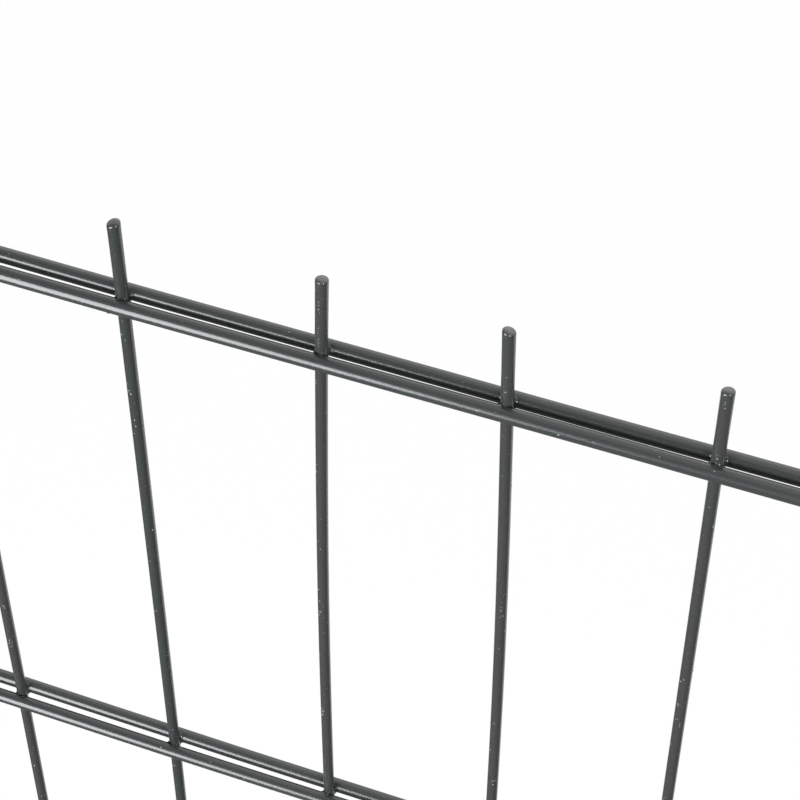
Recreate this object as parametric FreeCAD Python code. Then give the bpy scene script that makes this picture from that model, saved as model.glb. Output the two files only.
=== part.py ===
import FreeCAD, Part
import math
import os

# Twin-wire welded mesh fence panel, in millimetres.
# Thin upright wires stand side by side, and every row is a pair of thicker wires,
# one on the front and one on the back, so the uprights are held between them.
# Each crossing is a resistance weld: the row wire is pressed a little way into the
# upright, which keeps a saddle of the row wire's own section.
# The uprights stand proud of the top row as bare spikes and stop just under the
# bottom row.
# Every wire is drawn with a few flats, and its diameter is the size across them.
#
# Frame: +X along the panel, +Y through it from the front to the back, +Z up.
# The origin is the middle of the sheared lower end of the middle upright.

# Driving dimensions
UPRIGHT_COUNT = 41
ROW_COUNT = 6
MESH_WIDTH = 50.0
MESH_HEIGHT = 200.0
UPRIGHT_DIAMETER = 3.0
ROW_WIRE_DIAMETER = 4.0
WELD_BITE = 0.7
SPIKE_LENGTH = 27.5
FOOT_LENGTH = 2.5
ROW_WIRE_OVERHANG = 4.0
SPIKE_ROUNDING = 0.4
FOOT_ROUNDING = 0.3
ROW_END_ROUNDING = 0.4
WIRE_FLATS = 8
ROUNDING_STEPS = 2

# Sizes and places that follow from them
UPRIGHT_RADIUS = UPRIGHT_DIAMETER / 2
ROW_WIRE_RADIUS = ROW_WIRE_DIAMETER / 2
ROW_WIRE_OFFSET = UPRIGHT_RADIUS + ROW_WIRE_RADIUS - WELD_BITE
UPRIGHT_SPAN = (UPRIGHT_COUNT - 1) * MESH_WIDTH
ROW_WIRE_LENGTH = UPRIGHT_SPAN + 2 * ROW_WIRE_OVERHANG
TOP_ROW_HEIGHT = FOOT_LENGTH + (ROW_COUNT - 1) * MESH_HEIGHT
UPRIGHT_LENGTH = TOP_ROW_HEIGHT + SPIKE_LENGTH
FLAT_ANGLE = 2 * math.pi / WIRE_FLATS

UP = FreeCAD.Vector(0, 0, 1)
ALONG = FreeCAD.Vector(1, 0, 0)


def row_height(row):
    """Height of a row wire's centre line; row 1 is the lowest."""
    return FOOT_LENGTH + (row - 1) * MESH_HEIGHT


def upright_place(number):
    """Distance along the panel of an upright's centre line; number 1 is at the left."""
    return (number - 1) * MESH_WIDTH - UPRIGHT_SPAN / 2


def wire_ring(radius, height):
    """Corners of a wire's section at a height, with a flat towards each face of the panel."""
    corner_radius = radius / math.cos(FLAT_ANGLE / 2)
    corners = []
    for index in range(WIRE_FLATS):
        angle = (index + 0.5) * FLAT_ANGLE
        corners.append(
            FreeCAD.Vector(
                corner_radius * math.cos(angle), corner_radius * math.sin(angle), height
            )
        )
    return corners


def outline(corners):
    """Flat face inside a closed run of corners."""
    return Part.Face(Part.makePolygon(corners + corners[:1]))


def cut_wire(radius, length, start_rounding, end_rounding, axis, start):
    """A drawn wire cut to length, with both ends rounded over in a few steps."""
    rings = []
    for step in range(ROUNDING_STEPS + 1):
        turn = step / ROUNDING_STEPS * math.pi / 2
        inset = start_rounding * (1 - math.sin(turn))
        rings.append(wire_ring(radius - inset, start_rounding * (1 - math.cos(turn))))
    for step in range(ROUNDING_STEPS + 1):
        turn = step / ROUNDING_STEPS * math.pi / 2
        inset = end_rounding * (1 - math.cos(turn))
        rings.append(wire_ring(radius - inset, length - end_rounding * (1 - math.sin(turn))))
    faces = [outline(rings[0]), outline(rings[-1])]
    for lower, upper in zip(rings, rings[1:]):
        for index in range(WIRE_FLATS):
            following = (index + 1) % WIRE_FLATS
            faces.append(outline([lower[index], lower[following], upper[following], upper[index]]))
    wire = Part.Solid(Part.Shell(faces))
    wire.Placement = FreeCAD.Placement(start, FreeCAD.Rotation(UP, axis))
    return wire


def row_wire(row, side, length, rounding):
    """One wire of a row's pair, centred on x = 0; side is -1 at the front and 1 at the back."""
    start = FreeCAD.Vector(-length / 2, side * ROW_WIRE_OFFSET, row_height(row))
    return cut_wire(ROW_WIRE_RADIUS, length, rounding, rounding, ALONG, start)


def welded_upright():
    """The upright in the plane x = 0, with a saddle where each row wire is welded in."""
    blank = cut_wire(
        UPRIGHT_RADIUS, UPRIGHT_LENGTH, FOOT_ROUNDING, SPIKE_ROUNDING, UP, FreeCAD.Vector(0, 0, 0)
    )
    saddles = []
    for row in range(1, ROW_COUNT + 1):
        for side in (-1, 1):
            saddles.append(row_wire(row, side, MESH_WIDTH, ROW_END_ROUNDING))
    return blank.cut(saddles)


def save(shape, node):
    """Writes one piece of the panel under its node's name."""
    shape.exportStep(os.path.join("parts", node + ".step"))


os.makedirs("parts", exist_ok=True)

pattern = welded_upright()
for number in range(1, UPRIGHT_COUNT + 1):
    upright = pattern.copy()
    upright.translate(ALONG * upright_place(number))
    save(upright, "upright_%02d" % number)

for row in range(1, ROW_COUNT + 1):
    save(row_wire(row, -1, ROW_WIRE_LENGTH, ROW_END_ROUNDING), "row_%d_front_wire" % row)
    save(row_wire(row, 1, ROW_WIRE_LENGTH, ROW_END_ROUNDING), "row_%d_back_wire" % row)

print("upright volume", round(pattern.Volume, 2), "length", UPRIGHT_LENGTH)
print("panel", ROW_WIRE_LENGTH, "by", 2 * (ROW_WIRE_OFFSET + ROW_WIRE_RADIUS), "by", UPRIGHT_LENGTH)
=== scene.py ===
import math
import bpy
import numpy as np
from mathutils import Matrix, Vector


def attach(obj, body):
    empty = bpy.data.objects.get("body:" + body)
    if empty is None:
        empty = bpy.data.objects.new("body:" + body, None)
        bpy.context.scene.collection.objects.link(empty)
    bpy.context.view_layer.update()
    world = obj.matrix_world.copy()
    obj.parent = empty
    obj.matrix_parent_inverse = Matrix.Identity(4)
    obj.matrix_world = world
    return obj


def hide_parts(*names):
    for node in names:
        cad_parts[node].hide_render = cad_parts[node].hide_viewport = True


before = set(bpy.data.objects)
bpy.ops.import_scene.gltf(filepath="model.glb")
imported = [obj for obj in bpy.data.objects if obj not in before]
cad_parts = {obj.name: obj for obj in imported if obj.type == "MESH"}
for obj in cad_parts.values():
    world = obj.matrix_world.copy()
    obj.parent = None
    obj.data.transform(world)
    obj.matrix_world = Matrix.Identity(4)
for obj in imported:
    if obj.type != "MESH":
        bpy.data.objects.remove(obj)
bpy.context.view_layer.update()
print("frame loaded")

seeds = {"shapes": 31, "tones": 8, "dust": 17}
rng = np.random.default_rng(seeds["shapes"])
toneRng = np.random.default_rng(seeds["tones"])
dustRng = np.random.default_rng(seeds["dust"])

# the panel as the construction gives it, in millimetres as all lengths up to the mesh are
panel = {
    "uprights": 41,
    "rows": 6,
    "meshWidth": 50.0,
    "meshHeight": 200.0,
    "uprightRadius": 1.5,
    "rowRadius": 2.0,
    # coat on the uprights at the lower rows, at the top row and at the tips, where it gathers
    "uprightCoat": (0.04, 0.10, 0.17),
    "rowCoat": 0.06,
    "weldBite": 0.7,
    "footLength": 2.5,
    "spikeLength": 27.5,
    "rowOverhang": 4.0,
}
# the coat stands on the bare wires, and the pair of row wires keeps its outer width
rowOffset = panel["uprightRadius"] + panel["rowRadius"] - panel["weldBite"] - panel["rowCoat"]
rowRadius = panel["rowRadius"] + panel["rowCoat"]
rowHeights = panel["footLength"] + panel["meshHeight"] * np.arange(panel["rows"])
uprightPlaces = panel["meshWidth"] * (np.arange(panel["uprights"]) - (panel["uprights"] - 1) / 2)
coatHeights = rowHeights[-1] + np.array([-panel["meshHeight"], 0, panel["spikeLength"]])
rowEnd = uprightPlaces[-1] + panel["rowOverhang"]

# how far each wire strays from true, in millimetres, as drawn wire does after welding
stray = {
    "atRow": 0.22,
    "bow": 0.3,
    "spikeLean": 0.12,
    "thickCoat": 0.05,
    "rowWave": 0.18,
    "waveLengths": (118, 41),    # a slow wave, and a quick one with a share of its height
    "quickShare": 0.35,
    "lowestRise": 0.4,           # share of the wave in the lowest row, which only strays upwards
    # how far each coat is towards its warmer shade, either way
    "uprightTone": 0.25,
    "rowTone": 0.1,
    # the row wires in the picture, with tone nought: (place along the panel, rise) pairs for
    # each row and side, which hold up to the first distance from the middle and fade by the next
    "seenReach": (120, 230),
    "seenRows": {
        (5, -1): (
            (-80, -0.03), (-50, -0.12), (-17, 0.02), (14, 0.12), (44, 0.26), (85, 0.3), (112, 0.26)
        ),
        (5, 1): (
            (-83, 0.5), (-61, 0.27), (-40, 0.13), (-9, 0.13), (30, 0.18), (60, 0.06), (85, 0.12),
            (111, 0.3),
        ),
        (4, -1): ((-105, 0.3), (-85, 0.0), (-52, -0.48), (-26, -0.66), (-8, -0.68), (90, 0.0)),
        (4, 1): ((-108, 1.85), (-94, 1.6), (-72, 1.15), (-54, 0.85), (-28, 0.35), (60, 0.0)),
    },
    # the uprights in the picture: place at the top row, at the row below, bow above and below it,
    # lean of the spike, thicker coat
    "seen": {
        18: (0.0, -0.38, -0.5, 0.0, 0.0, 0.05),
        19: (-0.18, -0.08, 0.06, 0.0, -0.2, 0.07),
        20: (1.68, -0.36, -0.66, 0.0, 0.74, 0.01),
        21: (-1.34, -0.26, 0.72, 0.0, -0.45, 0.01),
        22: (-0.05, -0.17, 0.04, 0.0, 0.08, 0.03),
    },
    # tones of the same uprights
    "seenTones": {18: 0, 19: -0.55, 20: -0.05, 21: 0, 22: 0},
}
uprightDrift = rng.normal(0, stray["atRow"], (panel["uprights"], panel["rows"]))
uprightBow = rng.normal(0, stray["bow"], (panel["uprights"], panel["rows"] - 1))
spikeLean = rng.normal(0, stray["spikeLean"], panel["uprights"])
thickCoat = rng.uniform(0, stray["thickCoat"], panel["uprights"])
for number, (top, below, bowAbove, bowBelow, lean, thick) in stray["seen"].items():
    uprightDrift[number, -1] = top
    uprightDrift[number, -2] = below
    uprightBow[number, -1] = bowAbove
    uprightBow[number, -2] = bowBelow
    spikeLean[number] = lean
    thickCoat[number] = thick
rowPhases = rng.uniform(0, 2 * math.pi, (panel["rows"], 2))
uprightTones = toneRng.uniform(-stray["uprightTone"], stray["uprightTone"], panel["uprights"])
rowTones = toneRng.uniform(-stray["rowTone"], stray["rowTone"], (panel["rows"], 2))
for number, tone in stray["seenTones"].items():
    uprightTones[number] = tone
for row, side in stray["seenRows"]:
    rowTones[row, (side + 1) // 2] = 0


def uprightRadius(number, heights):
    coated = np.interp(heights, coatHeights, panel["uprightCoat"])
    return panel["uprightRadius"] + thickCoat[number] + coated


def uprightCentre(number, heights):
    drift = np.interp(heights, rowHeights, uprightDrift[number])
    span = (heights - rowHeights[0]) / panel["meshHeight"]
    index = np.clip(np.floor(span).astype(int), 0, panel["rows"] - 2)
    inSpan = (span >= 0) & (span <= panel["rows"] - 1)
    bow = np.where(inSpan, uprightBow[number][index] * np.sin(math.pi * (span - index)), 0)
    above = np.clip((heights - rowHeights[-1]) / panel["spikeLength"], 0, 1)
    return uprightPlaces[number] + drift + bow + spikeLean[number] * above


def rowCentre(row, side, places):
    slowLength, quickLength = stray["waveLengths"]
    slow = np.sin(places / slowLength + rowPhases[row, 0])
    quick = np.sin(places / quickLength + rowPhases[row, 1] + side)
    wave = stray["rowWave"] * (slow + stray["quickShare"] * quick)
    if (row, side) in stray["seenRows"]:
        seenPlaces, rises = np.array(stray["seenRows"][row, side]).T
        inner, outer = stray["seenReach"]
        inView = np.clip((outer - np.abs(places)) / (outer - inner), 0, 1)
        wave = wave + (np.interp(places, seenPlaces, rises) - wave) * inView
    return rowHeights[row] + (stray["lowestRise"] * np.abs(wave) if row == 0 else wave)


# at a weld both wires are pulled onto one skin
weld = {
    "fill": 0.85,            # width of the fillet
    "faceFill": 0.25,        # on the faces of the panel, where the wires meet in a crevice
    "faceFrom": 0.95,        # from this far out of the panel's middle, over the next length
    "faceOver": 0.5,
    "fade": 0.32,            # how deep inside the other wire the pull has died away
    "passes": 4,
    "leastSlope": 0.2,
    "ridge": 0.1,            # rim of flash around the fillet
    "ridgePlace": 0.42,
    "ridgeWidth": 0.2,
    "lumps": 0.48,           # how uneven the flash is
    "lumpSpread": 0.6,
    "lumpWaves": 7,
    "lumpLengths": (0.8, 2.2),
    "reach": 3.3,            # length of wire on each side of a crossing that is drawn closely
    "margin": 0.05,
    "upStep": 0.3,
    "alongStep": 0.33,
    "farFromSeam": 3.0,
}
lumpWaves = rng.normal(size=(weld["lumpWaves"], 3))
lumpLengths = rng.uniform(*weld["lumpLengths"], weld["lumpWaves"])
lumpWaves *= 2 * math.pi / (np.linalg.norm(lumpWaves, axis=1) * lumpLengths)[:, None]
lumpPhases = rng.uniform(0, 2 * math.pi, weld["lumpWaves"])


def toUpright(points, number):
    # distance of points from an upright's skin, and the directions away from its middle
    out = np.stack([points[:, 0] - uprightCentre(number, points[:, 2]), points[:, 1]], axis=1)
    distance = np.linalg.norm(out, axis=1)
    away = np.stack([out[:, 0], out[:, 1], np.zeros(len(out))], axis=1) / distance[:, None]
    return distance - uprightRadius(number, points[:, 2]), away


def toRow(points, row, side):
    rise = points[:, 2] - rowCentre(row, side, points[:, 0])
    out = np.stack([points[:, 1] - side * rowOffset, rise], axis=1)
    distance = np.linalg.norm(out, axis=1)
    away = np.stack([np.zeros(len(out)), out[:, 0], out[:, 1]], axis=1) / distance[:, None]
    return distance - rowRadius, away


def pullToWeld(points, own, other):
    # own and other give the distance from each of the two wires, as toUpright and toRow do
    moved = points.copy()
    depth, _ = other(points)
    for _ in range(weld["passes"]):
        a, awayA = own(moved)
        b, awayB = other(moved)
        onFace = np.clip((np.abs(moved[:, 1]) - weld["faceFrom"]) / weld["faceOver"], 0, 1)
        fill = weld["fill"] + (weld["faceFill"] - weld["fill"]) * onFace
        share = np.clip(0.5 + 0.5 * (b - a) / fill, 0, 1)
        skin = b + (a - b) * share - fill * share * (1 - share)
        edge = np.maximum(a, b)
        near = np.exp(-((edge / weld["lumpSpread"]) ** 2))
        lumps = weld["lumps"] * np.sin(moved @ lumpWaves.T + lumpPhases).mean(axis=1)
        ridge = weld["ridge"] * np.exp(-(((edge - weld["ridgePlace"]) / weld["ridgeWidth"]) ** 2))
        skin = skin - near * (lumps + ridge)
        slope = awayA * share[:, None] + awayB * (1 - share)[:, None]
        steepness = np.maximum((slope ** 2).sum(axis=1), weld["leastSlope"])
        moved = moved - (skin / steepness)[:, None] * slope
    keep = np.clip((depth + weld["fade"]) / weld["fade"], 0, 1)[:, None]
    return points + (moved - points) * keep


def seamSide(points, number, row, side):
    # below nought on the upright, above it on the row wire, and nought along the seam
    return toUpright(points, number)[0] - toRow(points, row, side)[0]


def uprightCrossings(number):
    # middle and reach of the stretch of an upright that meets each row's pair of wires
    crossings = []
    for row in range(panel["rows"]):
        place = uprightCentre(number, rowHeights[row : row + 1])
        front, back = (rowCentre(row, side, place)[0] for side in (-1, 1))
        crossings.append(((front + back) / 2, weld["reach"] + abs(front - back) / 2))
    return crossings


def rowCrossings(row):
    # middle and reach of the stretch of a row wire that meets each upright
    height = rowHeights[row : row + 1]
    places = [uprightCentre(number, height)[0] for number in range(panel["uprights"])]
    return [(place, weld["reach"]) for place in places]


def denseStations(start, end, crossings, step, between):
    # close steps at each crossing and few between them
    stops = set()
    for middle, reach in crossings:
        count = int(round(reach / step))
        stops.update(round(middle + step * index, 4) for index in range(-count, count + 1))
    for (low, lowReach), (high, highReach) in zip(crossings, crossings[1:]):
        inner = np.linspace(low + lowReach, high - highReach, between + 2)[1:-1]
        stops.update(round(float(stop), 4) for stop in inner)
    return np.array(sorted(stop for stop in stops if start < stop < end))


cutEnd = {
    "steps": 4,
    "innerRings": (0.7, 0.35),    # shares of the flat end's radius
}


def roundedEnd(radius, rounding):
    # (how far inside the end, ring radius) from the flank to the middle of the end
    ring = []
    for index in range(cutEnd["steps"] + 1):
        turn = index / cutEnd["steps"] * math.pi / 2
        ring.append((rounding * (1 - math.sin(turn)), radius - rounding * (1 - math.cos(turn))))
    flat = radius - rounding
    return ring + [(0.0, flat * share) for share in cutEnd["innerRings"]]


# a drop of spatter or a grain of dust, squashed onto the wire: sides of its rings, and how
# high each ring stands in shares of a quarter turn
bead = {
    "spatter": (8, (0.8, 0.35, -0.35)),
    "dust": (5, (0.6, -0.3)),
    "squash": 0.55,
    "spread": 0.8,
}


def beadMesh(centre, out, along, size, sides, rises):
    across = np.cross(out, along)
    turns = np.arange(sides) * 2 * math.pi / sides
    points = [centre + bead["squash"] * size * out]
    for rise in rises:
        reach = size * math.cos(rise * math.pi / 2 * bead["spread"])
        lift = bead["squash"] * size * math.sin(rise * math.pi / 2)
        for turn in turns:
            flat = reach * (math.cos(turn) * along + math.sin(turn) * across)
            points.append(centre + flat + lift * out)
    steps = [(i, (i + 1) % sides) for i in range(sides)]
    faces = [[0, 1 + i, 1 + j] for i, j in steps]
    for ring in range(1, 1 + sides * (len(rises) - 1), sides):
        faces += [[ring + i, ring + sides + i, ring + sides + j, ring + j] for i, j in steps]
    return np.array(points), faces


def addWire(name, rings, seam, tone, beads):
    # rings run along the wire; each end closes on a middle point; the coat reads three values
    # from the points: seam is the distance from a weld's seam, tone drifts the shade of the
    # whole wire, and pale whitens the beads
    count, sides = rings.shape[:2]
    ends = np.stack([rings[0].mean(axis=0), rings[-1].mean(axis=0)])
    parts = [rings.reshape(-1, 3), ends]
    index = np.arange(count * sides).reshape(count, sides)
    turned = np.roll(index, -1, axis=1)
    quads = np.stack([index[:-1], turned[:-1], turned[1:], index[1:]], axis=-1).reshape(-1, 4)
    faces = quads.tolist()
    low, high = count * sides, count * sides + 1
    faces += [[low, b, a] for a, b in zip(index[0].tolist(), turned[0].tolist())]
    faces += [[high, a, b] for a, b in zip(index[-1].tolist(), turned[-1].tolist())]
    total = high + 1
    pales = [np.zeros(total)]
    for *shape, pale in beads:
        drop, dropFaces = beadMesh(*shape)
        parts.append(drop)
        pales.append(np.full(len(drop), pale))
        faces += [[total + corner for corner in face] for face in dropFaces]
        total += len(drop)
    mesh = bpy.data.meshes.new(name)
    mesh.from_pydata((np.concatenate(parts) * 0.001).tolist(), [], faces)
    mesh.polygons.foreach_set("use_smooth", np.ones(len(faces), dtype=bool))
    seams = np.full(total, weld["farFromSeam"])
    seams[: len(seam)] = seam
    fields = {"seam": seams, "tone": np.full(total, tone), "pale": np.concatenate(pales)}
    for field, values in fields.items():
        mesh.attributes.new(field, "FLOAT", "POINT").data.foreach_set("value", values)
    mesh.update()
    piece = bpy.data.objects.new(name, mesh)
    bpy.context.collection.objects.link(piece)
    return piece


upright = {
    "sides": 24,
    "between": 7,            # rings between the closely drawn stretches
    "footRounding": 0.25,
    "spikeShort": (0.2, 1.6),    # how far a sheared tip ends short of the longest
    "crown": (0.8, 1.3),     # height of a tip's rounded crown
    "crownTurns": (0, 14, 26, 37, 47, 57, 66, 75, 83),
    "squareness": (2.3, 3.8),
    "tipSlant": 0.16,
    "tipLean": 2,            # lean of a crown, as a multiple of its slant to the back
    "underCrown": (0.6, 0.4),    # lengths under the crown that hold no ring and the last ring
    # tips in the picture: millimetres short of the longest, slant to the right and to the back,
    # height of the crown, squareness, how far the crown leans to the right
    "seenTips": {
        19: (0.0, 0.25, 0.03, 1.0, 2.6, 0.08),
        20: (0.05, 0.0, -0.14, 0.88, 3.4, 0.05),
        21: (0.0, -0.16, -0.16, 1.05, 2.6, -0.3),
        22: (0.0, 0.04, -0.17, 1.05, 2.5, 0.25),
    },
    # dust caught in the coat in small groups, most of it on the face that lay upwards
    "dustGroups": 50,
    "dustTurn": 50,
    "dustSpread": (1.2, 12),
    "dustCounts": (1, 1, 2, 3),
    "dustSize": (0.15, 0.32),
    "dustPale": (0.2, 0.55),
    "dustEnds": 15,
    # grains in the picture: height over the top row, turn from the front, size
    "seenDust": {
        20: (
            (20.6, -4, 0.15), (19.5, -2, 0.16), (18.1, -4, 0.2), (17, 5, 0.13), (11.4, -4, 0.17),
            (9.7, -12, 0.13), (7.2, -4, 0.18), (6.0, -2, 0.15),
        ),
        21: ((12.3, 6, 0.16), (7.0, 1, 0.27)),
        22: ((24.8, -2, 0.13), (24.1, -1, 0.17)),
    },
    "seenPale": 0.5,
}


def dust(number):
    grains = [
        (rowHeights[-1] + above, turn, size, upright["seenPale"])
        for above, turn, size in upright["seenDust"].get(number, ())
    ]
    # the spikes in the picture have their own grains alone
    onSpike = 0 if number in stray["seen"] else upright["dustEnds"]
    for _ in range(upright["dustGroups"]):
        middle = dustRng.uniform(upright["dustEnds"], rowHeights[-1] + onSpike)
        facing = dustRng.normal(0, upright["dustTurn"])
        for _ in range(dustRng.choice(upright["dustCounts"])):
            along, around = dustRng.normal(0, upright["dustSpread"])
            size = dustRng.uniform(*upright["dustSize"])
            pale = dustRng.uniform(*upright["dustPale"])
            grains.append((middle + along, facing + around, size, pale))
    beads = []
    for height, turn, size, pale in grains:
        at = np.array([height])
        out = np.array([math.sin(math.radians(turn)), -math.cos(math.radians(turn)), 0])
        centre = np.array([uprightCentre(number, at)[0], 0, height])
        skin = centre + uprightRadius(number, at)[0] * out
        beads.append((skin, out, np.array([0, 0, 1.0]), size, *bead["dust"], pale))
    return beads


def makeUpright(number):
    short = rng.uniform(*upright["spikeShort"])
    slantX, slantY = rng.uniform(-1, 1, 2) * upright["tipSlant"]
    crown, squareness = rng.uniform(*upright["crown"]), rng.uniform(*upright["squareness"])
    lean = upright["tipLean"] * slantY
    if number in upright["seenTips"]:
        short, slantX, slantY, crown, squareness, lean = upright["seenTips"][number]
    highest = rowHeights[-1] + panel["spikeLength"]
    footRadius, tipRadius = uprightRadius(number, np.array([0, highest]))
    capTurns = np.radians(upright["crownTurns"])
    capRadii = tipRadius * np.cos(capTurns) ** (2 / squareness)
    capDrops = crown * (1 - np.sin(capTurns) ** (2 / squareness))
    top = highest - short - max(0, (math.hypot(slantX, slantY) * capRadii - capDrops).max())
    crossings = uprightCrossings(number)
    bare, last = upright["underCrown"]
    stations = denseStations(
        upright["footRounding"], top - crown - bare, crossings, weld["upStep"], upright["between"]
    )
    foot = roundedEnd(footRadius, upright["footRounding"])[::-1]
    heights = [inside for inside, _ in foot] + list(stations) + [top - crown - last]
    radii = [ring for _, ring in foot] + list(uprightRadius(number, np.array(heights[len(foot):])))
    heights, radii = np.concatenate([heights, top - capDrops]), np.concatenate([radii, capRadii])
    turns = np.arange(upright["sides"]) * 2 * math.pi / upright["sides"]
    rings = np.zeros((len(heights), upright["sides"], 3))
    rings[..., 0] = uprightCentre(number, heights)[:, None] + radii[:, None] * np.cos(turns)
    rings[..., 1] = radii[:, None] * np.sin(turns)
    rings[..., 2] = heights[:, None]
    slant = slantX * radii[:, None] * np.cos(turns) + slantY * radii[:, None] * np.sin(turns)
    inCrown = (heights > top - crown - weld["margin"])[:, None]
    rings[..., 0] += lean * (tipRadius - radii[:, None]) * inCrown
    rings[..., 2] += slant * inCrown
    points = rings.reshape(-1, 3)
    seam = np.full(len(points), -weld["farFromSeam"])
    for row, (middle, reach) in enumerate(crossings):
        for side in (-1, 1):
            near = np.abs(points[:, 2] - middle) < reach + weld["margin"]
            close = near & (points[:, 1] * side > 0)
            points[close] = pullToWeld(
                points[close],
                lambda p: toUpright(p, number),
                lambda p: toRow(p, row, side),
            )
            seam[close] = seamSide(points[close], number, row, side)
    points[:, 2] = np.maximum(points[:, 2], 0)
    return addWire(
        "uprightWire%02d" % (number + 1), points.reshape(rings.shape), seam,
        uprightTones[number], dust(number),
    )


rowWire = {
    "sides": 24,
    "between": 2,
    "endRounding": 0.3,
    "endGap": 0.2,           # length beside a rounded end that holds no ring
    "beadShare": 0.3,        # share of the crossings with a drop of spatter on the row wire
    "beadAlong": (2.2, 4.4),
    "beadTurn": (42, 138),
    "beadSize": (0.18, 0.42),
    "beadSink": 0.985,       # share of the wire's radius at which a drop sits
    "beadPale": 0.2,
    # spatter in the picture: (row, side, upright) with its place along, turn from the face, size
    "seenBeads": {
        (5, -1, 19): (-2.4, -44, 0.42),
        (4, -1, 19): (-2.9, 62, 0.3),
        (5, 1, 20): (4.0, 146, 0.6),
    },
}


def spatter(row, side):
    beads = []
    for number in range(panel["uprights"]):
        chance = rng.uniform()
        along = rng.choice([-1, 1]) * rng.uniform(*rowWire["beadAlong"])
        turn = rng.uniform(*rowWire["beadTurn"]) * rng.choice([-1, 1])
        size = rng.uniform(*rowWire["beadSize"])
        inPicture = (row, side) in stray["seenRows"] and number in stray["seen"]
        if (row, side, number) in rowWire["seenBeads"]:
            along, turn, size = rowWire["seenBeads"][row, side, number]
        elif chance > rowWire["beadShare"] or inPicture:
            continue
        place = uprightPlaces[number] + along
        out = np.array([0, side * math.cos(math.radians(turn)), math.sin(math.radians(turn))])
        centre = np.array([place, side * rowOffset, rowCentre(row, side, np.array([place]))[0]])
        skin = centre + rowRadius * rowWire["beadSink"] * out
        beads.append(
            (skin, out, np.array([1.0, 0, 0]), size, *bead["spatter"], rowWire["beadPale"])
        )
    return beads


def makeRowWire(row, side):
    crossings = rowCrossings(row)
    straight = rowEnd - rowWire["endRounding"] - rowWire["endGap"]
    stations = denseStations(
        -straight, straight, crossings, weld["alongStep"], rowWire["between"]
    )
    insides, endRadii = zip(*roundedEnd(rowRadius, rowWire["endRounding"]))
    places = np.array([inside - rowEnd for inside in insides[::-1]] + list(stations)
                      + [rowEnd - inside for inside in insides])
    radii = np.array(endRadii[::-1] + (rowRadius,) * len(stations) + endRadii)
    turns = (np.arange(rowWire["sides"]) + 0.5) * 2 * math.pi / rowWire["sides"]
    rings = np.zeros((len(places), rowWire["sides"], 3))
    rings[..., 0] = places[:, None]
    rings[..., 1] = side * rowOffset + radii[:, None] * np.cos(turns)
    rings[..., 2] = rowCentre(row, side, places)[:, None] + radii[:, None] * np.sin(turns)
    points = rings.reshape(-1, 3)
    seam = np.full(len(points), weld["farFromSeam"])
    for number, (middle, reach) in enumerate(crossings):
        close = np.abs(points[:, 0] - middle) < reach + weld["margin"]
        points[close] = pullToWeld(
            points[close],
            lambda p: toRow(p, row, side),
            lambda p: toUpright(p, number),
        )
        seam[close] = seamSide(points[close], number, row, side)
    face = "Front" if side < 0 else "Back"
    return addWire(
        "row%d%sWire" % (row + 1, face), points.reshape(rings.shape), seam,
        rowTones[row, (side + 1) // 2], spatter(row, side),
    )


class Field:
    # an output of a node; sums, products and comparisons add the nodes they need
    def __init__(self, tree, socket):
        self.tree = tree
        self.socket = socket

    def maths(self, operation, a, b):
        return addNode(self.tree, "ShaderNodeMath", {"operation": operation}, {0: a, 1: b})

    def __add__(self, other):
        return self.maths("ADD", self, other)

    def __sub__(self, other):
        return self.maths("SUBTRACT", self, other)

    def __rsub__(self, other):
        return self.maths("SUBTRACT", other, self)

    def __mul__(self, other):
        return self.maths("MULTIPLY", self, other)

    def __lt__(self, other):
        return self.maths("LESS_THAN", self, other)

    def __abs__(self):
        return self.maths("ABSOLUTE", self, 0.0)

    __radd__ = __add__
    __rmul__ = __mul__


def addNode(tree, kind, settings, inputs, output=0):
    # settings come first, because they decide which sockets the node has
    made = tree.nodes.new(kind)
    for key, value in settings.items():
        setattr(made, key, value)
    for key, value in inputs.items():
        if isinstance(value, Field):
            tree.links.new(value.socket, made.inputs[key])
        else:
            made.inputs[key].default_value = value
    return Field(tree, made.outputs[output]) if made.outputs else None


def stepBetween(tree, value, low, high):
    limits = {"Value": value, "From Min": low, "From Max": high}
    return addNode(tree, "ShaderNodeMapRange", {"interpolation_type": "SMOOTHSTEP"}, limits)


def noiseAt(tree, place, scale, detail, output=0):
    inputs = {"Vector": place, "Scale": scale, "Detail": detail}
    return addNode(tree, "ShaderNodeTexNoise", {}, inputs, output)


def cellsAt(tree, place, scale):
    # distance from the middle of each cell, and the colour drawn for the cell
    inputs = {"Vector": place, "Scale": scale}
    return [addNode(tree, "ShaderNodeTexVoronoi", {}, inputs, out) for out in ("Distance", "Color")]


def channelOf(tree, colour, name):
    return addNode(tree, "ShaderNodeSeparateColor", {}, {"Color": colour}, name)


def axisOf(tree, vector, name):
    return addNode(tree, "ShaderNodeSeparateXYZ", {}, {"Vector": vector}, name)


def pointValue(tree, name):
    return addNode(tree, "ShaderNodeAttribute", {"attribute_name": name}, {}, "Fac")


def mixColours(tree, factor, first, second):
    # by number, because this node has sockets of the same names for each kind of value
    inputs = {"Factor": factor, 6: first, 7: second}
    return addNode(tree, "ShaderNodeMix", {"data_type": "RGBA"}, inputs, 2)


def mixShaders(tree, factor, first, second):
    return addNode(tree, "ShaderNodeMixShader", {}, {0: factor, 1: first, 2: second})


def newMaterial(name):
    material = bpy.data.materials.new(name)
    material.use_nodes = True
    material.node_tree.nodes.clear()
    return material, material.node_tree


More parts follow.
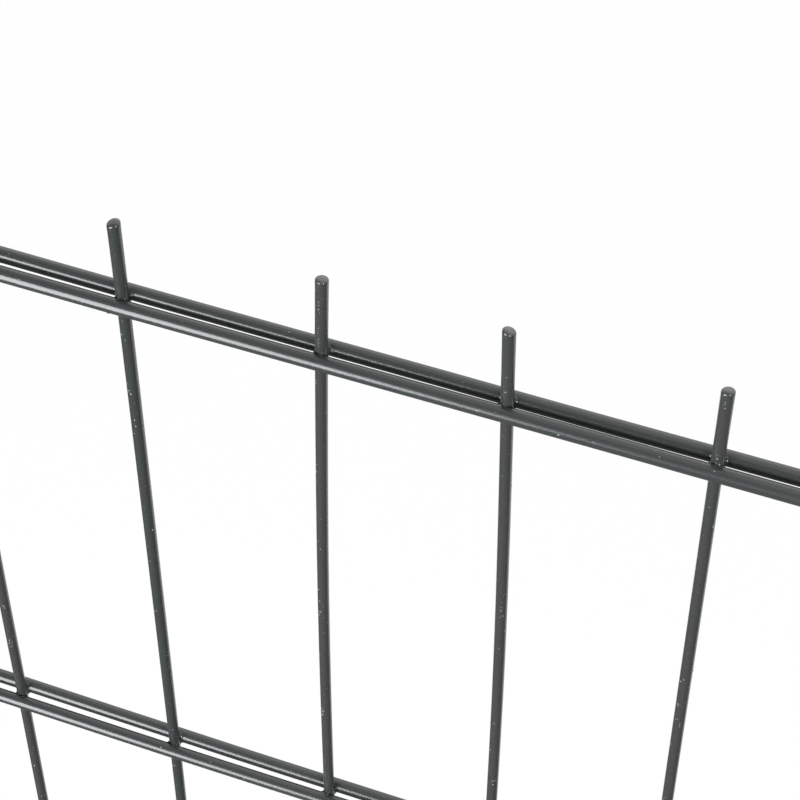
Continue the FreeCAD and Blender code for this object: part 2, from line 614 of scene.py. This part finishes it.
coat = {
    # the two shades each coat drifts between; the row wires have the same coat painted darker and
    # cooler, as painted shade
    "uprightShades": ((0.0248, 0.0282, 0.028, 1), (0.037, 0.0378, 0.036, 1)),
    "rowShadesWithPaintedShade": ((0.0195, 0.0245, 0.0255, 1), (0.034, 0.036, 0.0345, 1)),
    "speck": (0.42, 0.44, 0.44, 1),
    # colour of the painted sheen on the tops of the tips
    "paintedTipSheen": (0.122, 0.126, 0.12, 1),
    # colour of the painted shadow laid into the crease along each weld's seam
    "creasePaintedShadow": (0.008, 0.009, 0.009, 1),
    # noises, by how many of them fit in a metre
    "cloudScale": 28.0,
    "clusterScale": 75.0,
    "peelScale": 950.0,
    "grainScale": 4200.0,
    "detail": 2.0,
    "cloudShare": 0.5,
    "peelShare": 0.5,
    # the cells of the specks and of the flash are pushed out of true
    "pushScale": 1500.0,
    "pushDetail": 1.0,
    "push": 0.0005,
    "speckScale": 700.0,
    "speckSize": 0.2,
    "speckSmallest": 0.4,    # share of the largest, and of each speck that is solid
    "uprightSpecks": 0.6,    # share of cells that hold a pale speck
    "rowSpecks": 0.15,
    "patches": (0.42, 0.66),
    "patchSpecks": (0.3, 2.0),    # share outside a patch, and what a patch adds
    "creaseWidth": 0.068,    # millimetres
    "creaseEdge": (0.5, 1.5),
    "creaseRagged": 1.3,
    "raggedGrain": 0.4,
    "raggedMiddle": 0.7,
    # how much of the crease the painted shadow covers
    "creaseShadowShare": 0.5,
    "flashScale": 1700.0,    # beads of weld flash
    "flashSize": 0.27,
    "flashShare": 0.75,
    "flashReach": (0.2, 0.7),
    # painted sheen: a tip that faces up and is among the highest parts is made paler where it faces
    # the back
    "tipUpward": (0.3, 0.8),
    "tipHeight": (1.02, 1.025),
    "tipRearward": (-0.45, 0.65),
    "peelHeight": 0.000017,  # metres
    # how much each mark counts in the relief, in the paler shade and in the roughness
    "relief": {"grain": 0.2, "speck": 1.2, "flash": 6.0, "crease": 4.0},
    "whiter": {"speck": 0.42, "flash": 0.5},
    "roughness": 0.18,
    "rougher": {"grain": 0.08, "speck": 0.2, "tip": 0.1},
    "specular": 0.6,
}


def makeSpecks(tree, place, cluster, share):
    # pale specks, which gather in patches
    distance, colour = cellsAt(tree, place, coat["speckScale"])
    chance, size = (channelOf(tree, colour, name) for name in ("Red", "Green"))
    smallest = coat["speckSmallest"]
    reach = coat["speckSize"] * (smallest + (1 - smallest) * size)
    few, more = coat["patchSpecks"]
    gathered = few + more * stepBetween(tree, cluster, *coat["patches"])
    return (1 - stepBetween(tree, distance, smallest * reach, reach)) * (chance < share * gathered)


def makeFlash(tree, place, seam):
    # beads of flash along the seam of each weld
    distance, colour = cellsAt(tree, place, coat["flashScale"])
    nearSeam = 1 - stepBetween(tree, abs(seam), *coat["flashReach"])
    chance = channelOf(tree, colour, "Red")
    return (distance < coat["flashSize"]) * (chance < coat["flashShare"] * nearSeam)


def makeCrease(tree, seam, peel, grain):
    # the seam itself, as ragged as the flash of a weld is; it sinks the relief and carries the
    # painted shadow of the crevice
    uneven = peel + coat["raggedGrain"] * grain - coat["raggedMiddle"]
    ragged = seam + coat["creaseRagged"] * uneven
    inner, outer = (coat["creaseWidth"] * share for share in coat["creaseEdge"])
    return 1 - stepBetween(tree, abs(ragged), inner, outer)


def makeTipPaintedSheen(tree, place):
    # painted sheen: the tip is made paler where it faces up and to the back; the same mask makes it
    # duller there, where it broke off, and leaves it smooth at the front, where the shears entered
    # it
    facing = addNode(tree, "ShaderNodeNewGeometry", {}, {}, "Normal")
    upward = stepBetween(tree, axisOf(tree, facing, "Z"), *coat["tipUpward"])
    highest = stepBetween(tree, axisOf(tree, place, "Z"), *coat["tipHeight"])
    rearward = stepBetween(tree, axisOf(tree, facing, "Y"), *coat["tipRearward"])
    return upward * highest * rearward


def makeCoat(name, shades, specks):
    material, tree = newMaterial(name)
    place = addNode(tree, "ShaderNodeTexCoord", {}, {}, "Object")
    cloud, cluster, peel, grain = (
        noiseAt(tree, place, coat[scale], coat["detail"])
        for scale in ("cloudScale", "clusterScale", "peelScale", "grainScale")
    )
    bent = noiseAt(tree, place, coat["pushScale"], coat["pushDetail"], "Color")
    inputs = {"Factor": coat["push"], 4: place, 5: bent}
    pushed = addNode(tree, "ShaderNodeMix", {"data_type": "VECTOR"}, inputs, 1)
    seam = pointValue(tree, "seam")
    speck = makeSpecks(tree, pushed, cluster, specks)
    flash = makeFlash(tree, pushed, seam)
    crease = makeCrease(tree, seam, peel, grain)
    paintedSheenOnTips = makeTipPaintedSheen(tree, place)

    mottle = coat["cloudShare"] * cloud + coat["peelShare"] * peel + pointValue(tree, "tone")
    base = mixColours(tree, mottle, *shades)
    # painted sheen: the tips are made paler where they face up and back
    base = mixColours(tree, paintedSheenOnTips, base, coat["paintedTipSheen"])
    whiter = coat["whiter"]["speck"] * speck + coat["whiter"]["flash"] * flash
    base = mixColours(tree, whiter + pointValue(tree, "pale"), base, coat["speck"])

    weight = coat["relief"]
    relief = peel + weight["grain"] * grain + weight["speck"] * speck
    relief = relief + weight["flash"] * flash - weight["crease"] * crease
    inputs = {"Height": relief, "Strength": 1.0, "Distance": coat["peelHeight"]}
    bump = addNode(tree, "ShaderNodeBump", {}, inputs)
    weight = coat["rougher"]
    rough = coat["roughness"] + weight["grain"] * grain + weight["speck"] * speck
    rough = rough + weight["tip"] * paintedSheenOnTips
    shader = addNode(tree, "ShaderNodeBsdfPrincipled", {}, {
        "Base Color": base, "Roughness": rough, "Specular IOR Level": coat["specular"],
        "Normal": bump,
    })
    # painted shadow: a dark matte shader mixed into the crevice along the seam, less where flash
    # stands
    inputs = {"Color": coat["creasePaintedShadow"], "Roughness": 1.0}
    crevice = addNode(tree, "ShaderNodeBsdfDiffuse", {}, inputs)
    paintedShadowShare = crease * (coat["creaseShadowShare"] - coat["creaseShadowShare"] * flash)
    skin = mixShaders(tree, paintedShadowShare, shader, crevice)
    addNode(tree, "ShaderNodeOutputMaterial", {}, {"Surface": skin})
    return material


# what the camera sees beyond the panel is white; reflections find that white behind
# the panel and the dim side of the studio in front of it
studio = {
    "white": (1, 1, 1, 1),
    "black": (0, 0, 0, 1),
    "floorSize": 14.0,
    "floorColour": (0.80, 0.80, 0.80, 1),
    "floorShade": (0.84, 0.84, 0.83, 1),
    "floorMottle": 3.0,
    "floorDetail": 3.0,
    "floorBounce": 0.14,     # share of its light that the floor gives back to the panel
    "floorShown": 0.94,      # the rest keeps the panel's shadow
    "dim": 0.3,              # light of the sky in front of the panel, and then behind it
    "dimColour": (0.98, 1.0, 1.0, 1),
    "plain": 0.9,
    # where the white behind the panel begins: in the sky by how far up and ahead it is seen,
    # and on the floor by how far back a place is, skewed to the side
    "backdropTop": (0.5, 0.98),
    "turn": (-0.12, 0.3),
    "floorTurn": (0.15, 0.55),
    "floorSkew": 0.15,
}


def backdrop(tree, plain, white, behind, share):
    # the camera sees white everywhere, and mirrored or bent rays find it behind the panel
    straight, glossy, clear = (
        addNode(tree, "ShaderNodeLightPath", {}, {}, ray)
        for ray in ("Is Camera Ray", "Is Glossy Ray", "Is Transmission Ray")
    )
    seen = straight + (glossy + clear) * behind
    return mixShaders(tree, seen * share, plain, white)


def makeFloor():
    material, tree = newMaterial("paleFloor")
    place = addNode(tree, "ShaderNodeTexCoord", {}, {}, "Object")
    mottle = noiseAt(tree, place, studio["floorMottle"], studio["floorDetail"])
    tone = mixColours(tree, mottle, studio["floorColour"], studio["floorShade"])
    seen = addNode(tree, "ShaderNodeLightPath", {}, {}, "Is Camera Ray")
    given = studio["floorBounce"] + (1 - studio["floorBounce"]) * seen
    colour = mixColours(tree, given, studio["black"], tone)
    plain = addNode(tree, "ShaderNodeBsdfDiffuse", {}, {"Color": colour})
    inputs = {"Color": studio["white"], "Strength": 1.0}
    white = addNode(tree, "ShaderNodeEmission", {}, inputs)
    depth = axisOf(tree, place, "Y") + studio["floorSkew"] * axisOf(tree, place, "X")
    behind = stepBetween(tree, depth, *studio["floorTurn"])
    shown = backdrop(tree, plain, white, behind, studio["floorShown"])
    addNode(tree, "ShaderNodeOutputMaterial", {}, {"Surface": shown})
    half = studio["floorSize"] / 2
    corners = [(-half, -half, 0), (half, -half, 0), (half, half, 0), (-half, half, 0)]
    mesh = bpy.data.meshes.new("floor")
    mesh.from_pydata(corners, [], [(0, 1, 2, 3)])
    mesh.materials.append(material)
    floor = bpy.data.objects.new("floor", mesh)
    bpy.context.collection.objects.link(floor)


def makeSky():
    world = bpy.data.worlds.new("paleStudio")
    world.use_nodes = True
    tree = world.node_tree
    tree.nodes.clear()
    bpy.context.scene.world = world
    toSky = addNode(tree, "ShaderNodeTexCoord", {}, {}, "Generated")
    ahead = stepBetween(tree, axisOf(tree, toSky, "Y"), *studio["turn"])
    above = stepBetween(tree, axisOf(tree, toSky, "Z"), *studio["backdropTop"])
    behind = ahead * (1 - above)
    dim, plain, white = (
        addNode(tree, "ShaderNodeBackground", {}, {"Color": colour, "Strength": strength})
        for colour, strength in (
            (studio["dimColour"], studio["dim"]),
            (studio["white"], studio["plain"]),
            (studio["white"], 1.0),
        )
    )
    away = mixShaders(tree, behind, dim, plain)
    shown = backdrop(tree, away, white, behind, 1.0)
    addNode(tree, "ShaderNodeOutputWorld", {}, {"Surface": shown})


uprightCoat = makeCoat("uprightPowderCoat", coat["uprightShades"], coat["uprightSpecks"])
# the row wires take a darker copy of the same coat, painted shade
rowCoat = makeCoat("rowPowderCoatPaintedDarker", coat["rowShadesWithPaintedShade"], coat["rowSpecks"])
for number in range(panel["uprights"]):
    piece = makeUpright(number)
    piece.data.materials.append(uprightCoat)
    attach(piece, "root")
    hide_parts("upright_%02d" % (number + 1))
print("uprights made")

for row in range(panel["rows"]):
    for side, node in ((-1, "row_%d_front_wire"), (1, "row_%d_back_wire")):
        piece = makeRowWire(row, side)
        piece.data.materials.append(rowCoat)
        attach(piece, "root")
        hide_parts(node % (row + 1))
print("row wires made")
makeFloor()
makeSky()
print("floor and sky made")

# lamps stand around a point in the middle of the panel, near its top; azimuth is turned from
# straight in front of the panel, positive to the right
lampMiddle = Vector((0, 0, 1.0))
softLights = {
    "tallFrontLeftBox": {
        "azimuth": -31, "elevation": 4, "distance": 1.5, "size": (1.16, 1.5),
        "shape": "ELLIPSE", "power": 50, "colour": (0.96, 0.99, 1.0),
    },
    "smallFrontRightBox": {
        "azimuth": 46, "elevation": 16, "distance": 2.0, "size": (0.5, 0.8),
        "shape": "RECTANGLE", "power": 31, "colour": (1.0, 0.98, 0.96),
    },
    "overheadRightBox": {
        "azimuth": 125, "elevation": 62, "distance": 2.2, "size": (3.4, 3.4),
        "shape": "RECTANGLE", "power": 31, "colour": (1.0, 1.0, 0.99),
    },
    "lowRearBox": {
        "azimuth": -167, "elevation": 27, "distance": 2.5, "size": (1.9, 1.4),
        "shape": "RECTANGLE", "power": 8, "colour": (0.97, 1.0, 1.0),
    },
}


def addSoftLight(name, look):
    lamp = bpy.data.lights.new(name, "AREA")
    lamp.shape = look["shape"]
    lamp.size, lamp.size_y = look["size"]
    lamp.energy = look["power"]
    lamp.color = look["colour"]
    azimuth, elevation = math.radians(look["azimuth"]), math.radians(look["elevation"])
    away = Vector((
        math.sin(azimuth) * math.cos(elevation),
        -math.cos(azimuth) * math.cos(elevation),
        math.sin(elevation),
    ))
    light = bpy.data.objects.new(name, lamp)
    light.location = lampMiddle + away * look["distance"]
    light.rotation_euler = away.to_track_quat("Z", "Y").to_euler()
    light.visible_camera = False
    bpy.context.collection.objects.link(light)


for name, look in softLights.items():
    addSoftLight(name, look)
print("lights set")

# camera at the picture's viewing angle
view = {
    "place": (0.16324, -0.38929, 1.49364),
    "right": (0.93930, 0.34309, 0.00131),
    "down": (0.26498, -0.72300, -0.63801),
    "focal": 2700.0,         # in pixels of a picture as wide as the frame
    "frame": 800,
    "sensor": 36,
}
camera = bpy.data.objects.new("camera", bpy.data.cameras.new("camera"))
bpy.context.collection.objects.link(camera)
right = Vector(view["right"]).normalized()
up = -Vector(view["down"]).normalized()
turned = Matrix((right, up, right.cross(up))).transposed().to_4x4()
camera.matrix_world = Matrix.Translation(Vector(view["place"])) @ turned
camera.data.sensor_width = view["sensor"]
camera.data.lens = view["focal"] / view["frame"] * view["sensor"]
bpy.context.scene.camera = camera
bpy.context.scene.view_settings.view_transform = "Standard"
